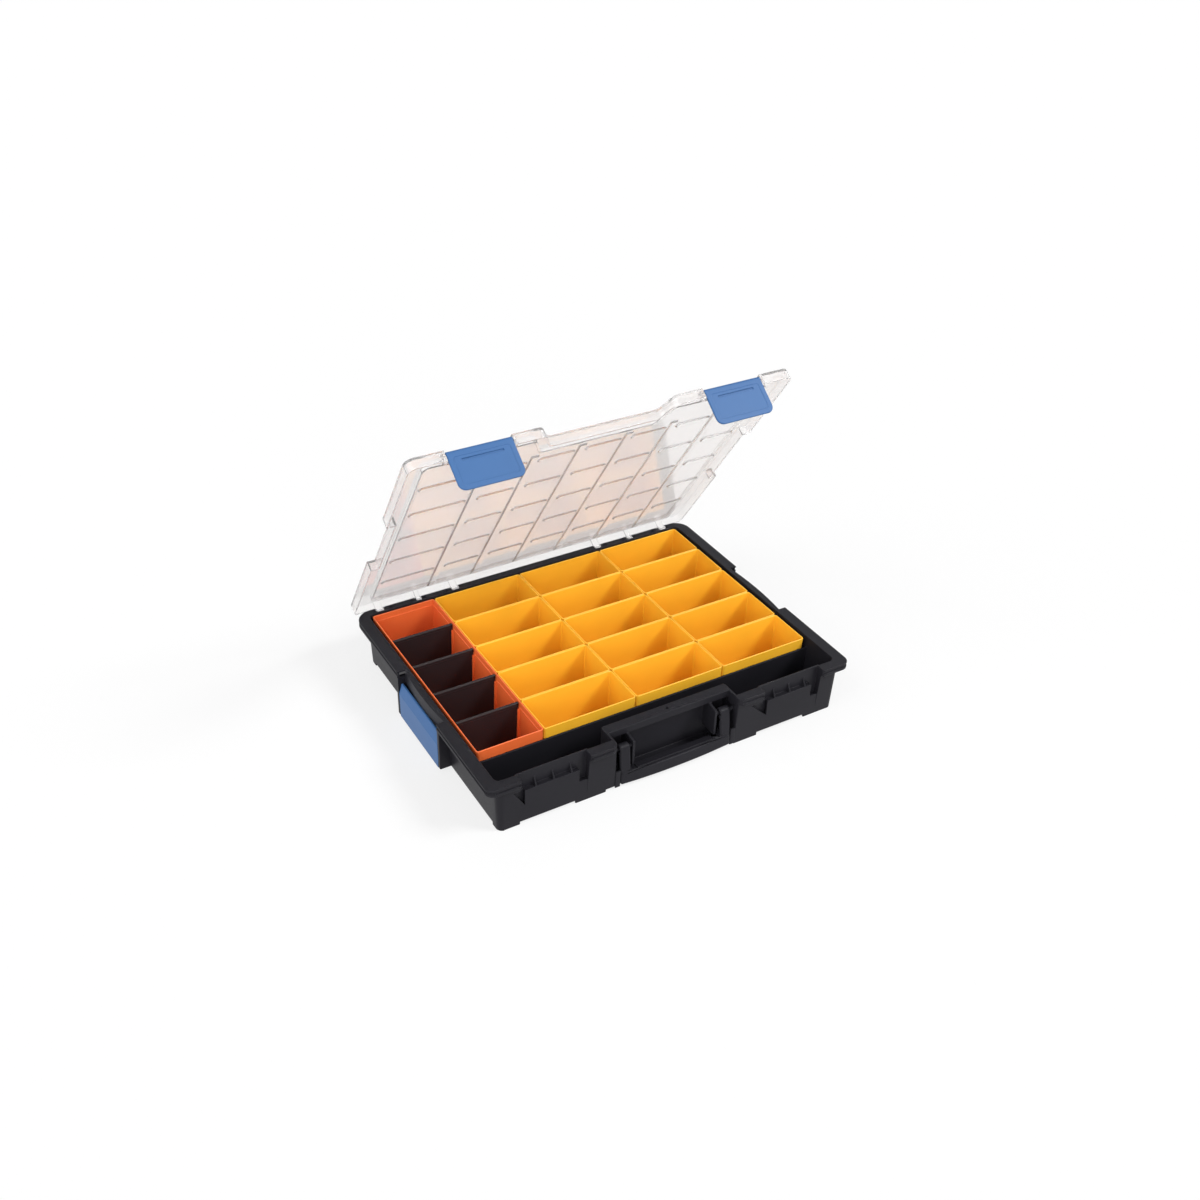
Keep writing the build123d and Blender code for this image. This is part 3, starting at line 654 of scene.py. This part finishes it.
@dataclass
class LiftOutBins:
    """The yellow bins in their grid."""

    layout: Layout
    finishes: Finishes

    def build(self) -> None:
        """Makes one piece for each bin's node."""
        lay = self.layout
        for row in range(lay.rows):
            for column in range(lay.columns):
                left = lay.bins_left + lay.long_pitch + column * lay.column_pitch
                back = lay.bins_back - row * lay.row_pitch
                shell = Shell()
                Tub(
                    lay,
                    (left + lay.gap / 2, left + lay.column_pitch - lay.gap / 2),
                    (back - lay.row_pitch + lay.gap / 2, back - lay.gap / 2),
                ).add_to(shell)
                node = f"bin_row{row + 1}_column{column + 1}"
                piece = shell.piece(f"yellow_{node}", self.finishes.yellow)
                even_shading(piece)
                place(piece, node)


@dataclass
class LongBin:
    """The orange long bin with its guides, and the four dark dividers."""

    layout: Layout
    finishes: Finishes
    wall: float = 2.0
    guide_depth: float = 1.8
    guide_width: float = 2.2
    guide_drop: float = 9.0
    guide_corner: float = 0.5
    guide_root: float = 0.8
    ledge_drop: float = 7.0
    ledge_step: float = 0.6
    plate: float = 1.8
    play: float = 0.3
    divider_drop: float = 1.2
    bead_thickness: float = 3.4
    bead_height: float = 4.5
    bead_radius: float = 1.1
    end_width: float = 2.6
    end_height: float = 7.5
    end_corner: float = 0.7

    def half_width(self, height: float) -> float:
        """Half of the inner width at a height."""
        lay = self.layout
        return lay.long_pitch / 2 - lay.gap / 2 - self.wall - lay.lean(height)

    def middle(self, index: int) -> float:
        """Middle plane of one divider."""
        return self.layout.bins_back - (index + 1) * self.layout.row_pitch

    def add_guide(self, shell: Shell, side: Side, near: float) -> None:
        """One upright guide: a rounded section carried up the leaning wall.

        Args:
            shell: where the guide goes.
            side: the wall that it stands on.
            near: its lower edge on Y.
        """
        lay = self.layout
        centre_x = lay.bins_left + lay.long_pitch / 2
        floor, top = lay.bin_bottom + 1.2, lay.bin_top - self.guide_drop
        half_x = (self.guide_depth + self.guide_root) / 2
        section = rounded_rectangle(half_x, self.guide_width / 2, self.guide_corner, 3)
        loops = []
        for height, shrink in ((floor, 0.0), (top - 0.5, 0.0), (top - 0.12, 0.12), (top, 0.45)):
            from_middle = self.half_width(height) - (self.guide_depth - self.guide_root) / 2
            place_at = (centre_x + side.value * from_middle, near + self.guide_width / 2)
            scale = 1.0 - 2 * shrink / self.guide_width
            loops.append(raised(section * scale + place_at, height))
        shell.add_stack(np.array(loops))

    def build_bin(self) -> None:
        """Makes the long bin with its ledge and guides."""
        lay = self.layout
        shell = Shell()
        Tub(
            lay,
            (lay.bins_left + lay.gap / 2, lay.bins_left + lay.long_pitch - lay.gap / 2),
            (lay.bins_back - lay.rows * lay.row_pitch + lay.gap / 2, lay.bins_back - lay.gap / 2),
            wall=self.wall,
            ledge_drop=self.ledge_drop,
            ledge_step=self.ledge_step,
        ).add_to(shell)
        slot = self.plate / 2 + self.play
        for index in range(lay.rows - 1):
            for side in Side:
                for near in (self.middle(index) + slot, self.middle(index) - slot - self.guide_width):
                    self.add_guide(shell, side, near)
        piece = shell.piece("orange_long_bin", self.finishes.orange)
        even_shading(piece)
        place(piece, "long_bin")

    def divider_section(self) -> Array:
        """Closed section of a divider across its plate: a rounded bead on a thin plate."""
        lay = self.layout
        bottom = lay.bin_bottom + 1.6 + self.play
        top = lay.bin_top - self.divider_drop
        low = top - self.bead_height
        half, radius = self.bead_thickness / 2, self.bead_radius
        right = np.concatenate(
            [
                [(self.plate / 2, bottom), (self.plate / 2, low - 0.3)],
                arc((half - radius, low + radius), radius, -90, 0, 4),
                arc((half - radius, top - radius), radius, 0, 90, 5),
            ]
        )
        left = right[::-1] * (-1, 1)
        return np.concatenate([right, left])

    def build_dividers(self) -> None:
        """Makes the dividers: the section carried along X, and an upright block at each end."""
        lay = self.layout
        centre_x = lay.bins_left + lay.long_pitch / 2
        top = lay.bin_top - self.divider_drop
        bead_bottom = top - self.bead_height
        bottom = lay.bin_bottom + 1.6 + self.play
        section = self.divider_section()
        low = self.half_width(bottom) - self.play
        high = self.half_width(bead_bottom) - self.play
        share = np.clip((section[:, 1] - bottom) / (bead_bottom - bottom), 0.0, 1.0)
        reach = low + (high - low) * share
        for index in range(lay.rows - 1):
            shell = Shell()
            y = section[:, 0] + self.middle(index)
            loops = [np.column_stack([centre_x + t * reach, y, section[:, 1]]) for t in (-1, -0.5, 0, 0.5, 1)]
            shell.add_stack(np.array(loops))
            for side in Side:
                block = rounded_rectangle(self.end_width / 2, self.bead_thickness / 2, self.end_corner, 3)
                block += (centre_x + side.value * (high - self.end_width / 2), self.middle(index))
                heights = (top - self.end_height, top - self.end_height + 0.4, top - 0.5)
                shell.add_stack(np.array([raised(block, z) for z in heights]))
            piece = shell.piece(f"dark_divider_{index + 1}", self.finishes.divider)
            even_shading(piece)
            place(piece, f"divider_{index + 1}")


@dataclass
class FrontLatches:
    """The two blue latches on the lid's front edge."""

    layout: Layout
    finishes: Finishes
    at: float = 147.0
    half: float = 35.5
    length: float = 44.0
    rise: float = 4.7
    pivot_y: float = -168.1
    pivot_z: float = 70.0
    barrel: float = 3.2
    thickness: float = 2.6
    corner: float = 8.0
    rest_angle: float = -4.4
    frame_inset: float = 5.2
    slot_half: float = 22.5
    slot_z: float = 61.5
    slot_width: float = 2.0
    slot_depth: float = 1.2
    frame_step: float = 0.45
    edge: float = 0.9
    upper_corner: float = 1.2
    stop_half: float = 25.0
    stop_lift: float = 26.0
    stop_depth: float = 2.4
    stop_thickness: float = 2.4

    def outline(self, inset: float, upper: float, steps: int = 8) -> Array:
        """Closed outline in the latch's plane, with large radii below and small ones above.

        Args:
            inset: how far inside the plate's edge.
            upper: radius of the upper corners.
            steps: pieces of each corner.

        Returns:
            Rows of x from the latch's middle, and z.
        """
        bottom = self.pivot_z + self.rise - self.length + inset
        top = self.pivot_z + self.barrel * 0.35 - inset
        half = self.half - inset
        lower = max(self.corner - inset, 1.5)
        return np.concatenate(
            [
                arc((half - upper, top - upper), upper, 0, 90, steps),
                arc((upper - half, top - upper), upper, 90, 180, steps),
                arc((lower - half, bottom + lower), lower, 180, 270, steps),
                arc((half - lower, bottom + lower), lower, 270, 360, steps),
            ]
        )

    def slot(self, grow: float, steps: int = 8) -> Array:
        """Closed outline of the finger slot, in step with the plate's outline."""
        half_z = self.slot_width / 2 + grow
        half_x = self.slot_half + grow
        radius = half_z * 0.98
        return rounded_rectangle(half_x, half_z, radius, steps) + (0.0, self.slot_z)

    def loops(self) -> list[tuple[Array, float]]:
        """Outlines and depths from the plate's back, round its edge, over its face into the slot."""
        back, upper, sunk = self.thickness, self.upper_corner, self.frame_step
        sequence = [(self.outline(self.edge, upper), back), (self.outline(0.25, upper), back - 0.25)]
        sequence.append((self.outline(0.0, upper), back - self.edge))
        for angle in np.radians(np.linspace(0.0, 90.0, 5)):
            inset = self.edge * (1 - math.cos(angle))
            sequence.append((self.outline(inset, upper + inset), self.edge * (1 - math.sin(angle))))
        sequence.append((self.outline(self.frame_inset, 3.0), 0.0))
        sequence.append((self.outline(self.frame_inset + 0.4, 2.8), sunk))
        sequence.append((self.slot(0.3), sunk))
        sequence.append((self.slot(0.1), sunk + 0.2))
        sequence.append((self.slot(0.0), sunk + self.slot_depth))
        return sequence

    def build(self) -> None:
        """Makes both latches: the plate's loops, its barrel and its stop, turned to their rest."""
        for side in Side:
            centre = side.value * self.at
            face = self.pivot_y - self.barrel
            shell = Shell()
            loops = []
            for outline, depth in self.loops():
                y = np.full(len(outline), face + depth)
                loops.append(np.column_stack([outline[:, 0] + centre, y, outline[:, 1]]))
            shell.add_stack(self.at_rest(np.array(loops)))
            shell.add_stack(self.at_rest(self.barrel_loops(centre)))
            shell.add_stack(self.at_rest(self.stop_loops(centre)))
            piece = shell.piece(f"blue_latch_{side.word}", self.finishes.blue)
            even_shading(piece)
            place(piece, f"latch_{side.word}")

    def barrel_loops(self, centre: float) -> Array:
        """A round bar along X with rounded ends: circles of radius r(x) about the pivot."""
        angles = np.linspace(0, 2 * np.pi, 32, endpoint=False)
        rows = [(-self.half, -0.7), (-self.half + 0.2, -0.2), (-self.half + 0.7, 0.0)]
        rows += [(-x, shrink) for x, shrink in reversed(rows)]
        loops = []
        for x, shrink in rows:
            radius = self.barrel + shrink
            y = self.pivot_y + radius * np.cos(angles)
            z = self.pivot_z + radius * np.sin(angles)
            loops.append(np.column_stack([np.full(32, centre + x), y, z]))
        return np.array(loops)

    def stop_loops(self, centre: float) -> Array:
        """The inner stop behind the plate: a rounded bar along X."""
        z = self.pivot_z + self.rise - self.length + self.stop_lift
        inner = self.pivot_y - self.barrel + self.thickness
        section = rounded_rectangle(self.stop_half, self.stop_thickness / 2, 0.8, 3)
        loops = []
        for reach, scale in ((-0.6, 1.0), (self.stop_depth - 0.5, 1.0), (self.stop_depth, 0.7)):
            outline = section * (1.0, scale)
            y = np.full(len(outline), inner + reach)
            loops.append(np.column_stack([outline[:, 0] + centre, y, outline[:, 1] + z]))
        return np.array(loops)

    def at_rest(self, points: Array) -> Array:
        """Turns closed positions to the latch's rest on the open lid."""
        return self.layout.opened(turn_x(points, -self.rest_angle, self.pivot_y, self.pivot_z))


@dataclass
class RoundedPieces:
    """Pieces whose frame node has the right shape and needs softer edges."""

    finishes: Finishes

    def build(self) -> None:
        """Makes the case, the lid, the handle and the side clips."""
        finishes = self.finishes
        case = Rounding(1.0, low=3.6, share=0.7)
        case.copy_of("base_shell", "black_case", finishes.case)
        Rounding(0.3).copy_of("lid", "clear_lid", finishes.clear)
        handle = Rounding(2.2, segments=4)
        handle.copy_of("carry_handle", "black_handle", finishes.case)
        for side in Side:
            clip = f"side_clip_{side.word}"
            Rounding(0.8).copy_of(clip, f"blue_{clip}", finishes.blue)


@dataclass
class BayWebs:
    """Thin upright webs that close the case's ground gap on the outer side of the handle's arms."""

    finishes: Finishes
    wall_at: float = 75.4
    clearance: float = 0.35
    face_y: float = -166.4
    thickness: float = 1.6
    foot_z: float = 2.0
    top_z: float = 23.0

    def build(self) -> None:
        """Makes both webs: a rounded rectangle in plan between the arm and the wall, carried up."""
        arm = float(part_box("carry_handle")[1][0]) / MILLIMETRE + self.clearance
        for side in Side:
            centre = (side.value * (self.wall_at + arm) / 2, self.face_y + self.thickness / 2)
            outline = rounded_rectangle((self.wall_at - arm) / 2, self.thickness / 2, 0.4, 3) + centre
            shell = Shell()
            shell.add_stack(np.array([raised(outline, z) for z in (self.foot_z, self.top_z)]))
            piece = shell.piece(f"black_bay_web_{side.word}", self.finishes.case)
            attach(piece, "base")
            LOG.info("%s closes the gap beside the handle", piece.name)


@dataclass
class Pins:
    """Pins, which keep their frame nodes: clear in the lid, black in the handle, steel elsewhere."""

    finishes: Finishes

    def build(self) -> None:
        """Gives each pin's node its finish."""
        steel = self.finishes.steel
        choices = {"hinge": steel, "latch": self.finishes.clear, "side": steel}
        for name, node in frame["nodes"].items():
            if "pin" in name:
                node.data.materials.clear()
                node.data.materials.append(choices.get(name.split("_")[0], self.finishes.case))
                LOG.info("%s keeps its node", name)


# Stage


@dataclass
class Studio:
    """Camera, pale floor, soft lights and the white surroundings."""

    focal_pixels: float = 1362.61
    picture_pixels: float = 1200.0
    azimuth: float = -31.53
    elevation: float = 34.36
    roll: float = 1.9
    position: tuple[float, float, float] = (-648.0, -1057.2, 961.7)
    sensor: float = 36.0
    floor_reach: float = 14.0
    floor_grey: float = 0.81
    floor_glow: float = 0.75
    unseen_world: float = 0.3

    def build_camera(self) -> None:
        """Stands the camera where the photograph was taken from."""
        data = bpy.data.cameras.new("camera")
        data.sensor_width = self.sensor
        data.lens = self.sensor * self.focal_pixels / self.picture_pixels
        data.clip_start = 0.01
        data.clip_end = 50.0
        camera = bpy.data.objects.new("camera", data)
        bpy.context.scene.collection.objects.link(camera)
        a, e, roll = (math.radians(v) for v in (self.azimuth, self.elevation, self.roll))
        back = np.array([math.sin(a) * math.cos(e), -math.cos(a) * math.cos(e), math.sin(e)])
        right = np.cross(-back, (0.0, 0.0, 1.0))
        right /= np.linalg.norm(right)
        up = np.cross(right, -back)
        across = math.cos(roll) * right + math.sin(roll) * up
        upwards = -math.sin(roll) * right + math.cos(roll) * up
        place_at = (np.array(self.position) + (0.0, SHIFT_Y, 0.0)) * MILLIMETRE
        matrix = Matrix.Identity(4)
        for row in range(3):
            matrix[row][0], matrix[row][1] = across[row], upwards[row]
            matrix[row][2], matrix[row][3] = back[row], place_at[row]
        camera.matrix_world = matrix
        bpy.context.scene.camera = camera

    def build_world(self) -> None:
        """White where the camera, a reflection or a clear piece sees it, and softer as a light."""
        world = bpy.data.worlds.new("surroundings")
        bpy.context.scene.world = world
        world.use_nodes = True
        nodes, links = world.node_tree.nodes, world.node_tree.links
        background = nodes["Background"]
        background.inputs["Color"].default_value = (1.0, 1.0, 1.0, 1.0)
        links.new(self.seen(nodes, links, 1.0, self.unseen_world), background.inputs["Strength"])

    @staticmethod
    def seen(
        nodes: bpy.types.Nodes, links: bpy.types.NodeLinks, seen: float, unseen: float
    ) -> bpy.types.NodeSocket:
        """A value for rays from the camera, a reflection or a clear piece, and another for the rest.

        Args:
            nodes: the tree's nodes.
            links: the tree's links.
            seen: value for those rays.
            unseen: value for all other rays.

        Returns:
            The socket that gives the value.
        """
        path = nodes.new("ShaderNodeLightPath")
        any_of = path.outputs["Is Camera Ray"]
        for ray in ("Is Glossy Ray", "Is Transmission Ray"):
            either = nodes.new("ShaderNodeMath")
            either.operation = "MAXIMUM"
            links.new(any_of, either.inputs[0])
            links.new(path.outputs[ray], either.inputs[1])
            any_of = either.outputs[0]
        value = nodes.new("ShaderNodeMapRange")
        value.inputs["To Min"].default_value = unseen
        value.inputs["To Max"].default_value = seen
        links.new(any_of, value.inputs["Value"])
        return value.outputs["Result"]

    def build_floor(self) -> None:
        """A wide pale floor that keeps the object's shadow."""
        mesh = bpy.data.meshes.new("floor")
        reach = self.floor_reach
        ends = [(-reach, -reach, 0.0), (reach, -reach, 0.0), (reach, reach, 0.0), (-reach, reach, 0.0)]
        mesh.from_pydata(ends, [], [(0, 1, 2, 3)])
        floor = bpy.data.objects.new("floor", mesh)
        bpy.context.scene.collection.objects.link(floor)
        material = bpy.data.materials.new("pale_floor")
        material.use_nodes = True
        nodes, links = material.node_tree.nodes, material.node_tree.links
        shader = nodes["Principled BSDF"]
        shader.inputs["Base Color"].default_value = (self.floor_grey, self.floor_grey, self.floor_grey, 1.0)
        shader.inputs["Roughness"].default_value = 0.9
        shader.inputs["Specular IOR Level"].default_value = 0.0
        glow = nodes.new("ShaderNodeEmission")
        glow.inputs["Color"].default_value = (1.0, 1.0, 1.0, 1.0)
        mix = nodes.new("ShaderNodeMixShader")
        links.new(self.seen(nodes, links, self.floor_glow, 0.0), mix.inputs["Fac"])
        links.new(shader.outputs["BSDF"], mix.inputs[1])
        links.new(glow.outputs["Emission"], mix.inputs[2])
        links.new(mix.outputs["Shader"], nodes["Material Output"].inputs["Surface"])
        mesh.materials.append(material)

    def build_light(
        self, name: str, towards: tuple[float, float, float], spread: float, level: float
    ) -> None:
        """A distant soft light, even over the whole floor.

        Args:
            name: the light's name.
            towards: direction from the box to the light.
            spread: angle that the light fills, in degrees.
            level: brightness that it gives a white surface that faces it, where 1 is white.
        """
        data = bpy.data.lights.new(name, "SUN")
        data.angle = math.radians(spread)
        data.energy = math.pi * level
        lamp = bpy.data.objects.new(name, data)
        bpy.context.scene.collection.objects.link(lamp)
        back = np.array(towards) / np.linalg.norm(towards)
        right = np.cross((0.0, 0.0, 1.0), back)
        right /= np.linalg.norm(right)
        up = np.cross(back, right)
        matrix = Matrix.Identity(4)
        for row in range(3):
            matrix[row][0], matrix[row][1], matrix[row][2] = right[row], up[row], back[row]
        lamp.matrix_world = matrix

    def build(self) -> None:
        """Sets up the whole stage."""
        bpy.context.scene.view_settings.view_transform = "Standard"
        self.build_camera()
        self.build_world()
        self.build_floor()
        self.build_light("key_light", (0.6, -0.42, 0.68), 20.0, 0.75)
        self.build_light("front_light", (-0.3, -0.85, 0.45), 45.0, 0.42)
        self.build_light("side_light", (-0.86, -0.1, 0.5), 60.0, 0.5)


def main() -> None:
    """Builds the stage and every sub-assembly."""
    logging.basicConfig(level=logging.INFO, format="%(name)s: %(message)s")
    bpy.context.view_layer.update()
    layout = Layout()
    finishes = Finishes.build()
    Studio().build()
    RoundedPieces(finishes).build()
    BayWebs(finishes).build()
    Pins(finishes).build()
    LiftOutBins(layout, finishes).build()
    long_bin = LongBin(layout, finishes)
    long_bin.build_bin()
    long_bin.build_dividers()
    FrontLatches(layout, finishes).build()


if __name__ == "__main__":
    main()
